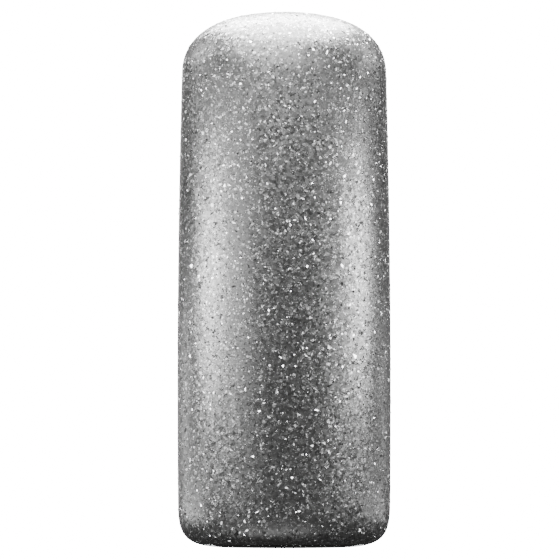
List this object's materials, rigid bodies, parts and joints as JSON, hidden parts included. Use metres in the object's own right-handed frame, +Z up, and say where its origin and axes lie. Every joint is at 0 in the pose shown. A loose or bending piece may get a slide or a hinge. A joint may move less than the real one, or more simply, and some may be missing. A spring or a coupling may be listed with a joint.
{
  "type": "nail polish bottle",
  "caption": "Closed oval nail polish bottle with a tall domed screw cap and brush, all in one smooth silver glitter finish.",
  "frame": {"origin": "centre of the base, on the surface that the bottle stands on", "axes": "+Z up along the screw axis, X the wide way across, Y the narrow way; the front faces -Y"},
  "size_m": [0.0278, 0.021, 0.07],
  "materials": {
    "clear_glass": "clear moulded glass",
    "glitter_lacquer": "silver glitter lacquer under clear gloss",
    "polish": "wet silver glitter polish",
    "ball_steel": "polished steel",
    "wire_steel": "drawn wire",
    "label_stock": "blank coated paper",
    "seal_foam": "closed-cell foam",
    "stem_plastic": "moulded black polyethylene",
    "nylon": "fine filaments",
    "closure_plastic": "moulded polypropylene",
    "cap_plastic": "moulded grey ABS"
  },
  "bodies": {
    "bottle": {"glass_bottle": "clear_glass", "bottle_glitter_coat": "glitter_lacquer", "polish_fill": "polish", "mixing_balls": "ball_steel", "base_label": "label_stock"},
    "seal": {"rim_seal": "seal_foam"},
    "brush": {"brush_stem": "stem_plastic", "bristle_tuft": "nylon", "tuft_anchor": "wire_steel"},
    "cap": {"inner_cap": "closure_plastic", "outer_cap": "cap_plastic", "cap_glitter_coat": "glitter_lacquer"}
  },
  "joints": [
    {"name": "lift_off", "type": "slide", "parent": "bottle", "child": "seal", "axis": [0, 0, 1], "range_m": [0, 0.044]},
    {"name": "cap_rise", "type": "slide", "parent": "seal", "child": "brush", "axis": [0, 0, 1], "range_m": [0, 0.00423]},
    {"name": "cap_turn", "type": "hinge", "parent": "brush", "child": "cap", "pos_m": [0, 0, 0.04], "axis": [0, 0, 1], "range_deg": [0, 720]}
  ],
  "couplings": [
    {"joint": "cap_rise", "follows": "cap_turn", "m_per_rad": 0.00033693}
  ]
}
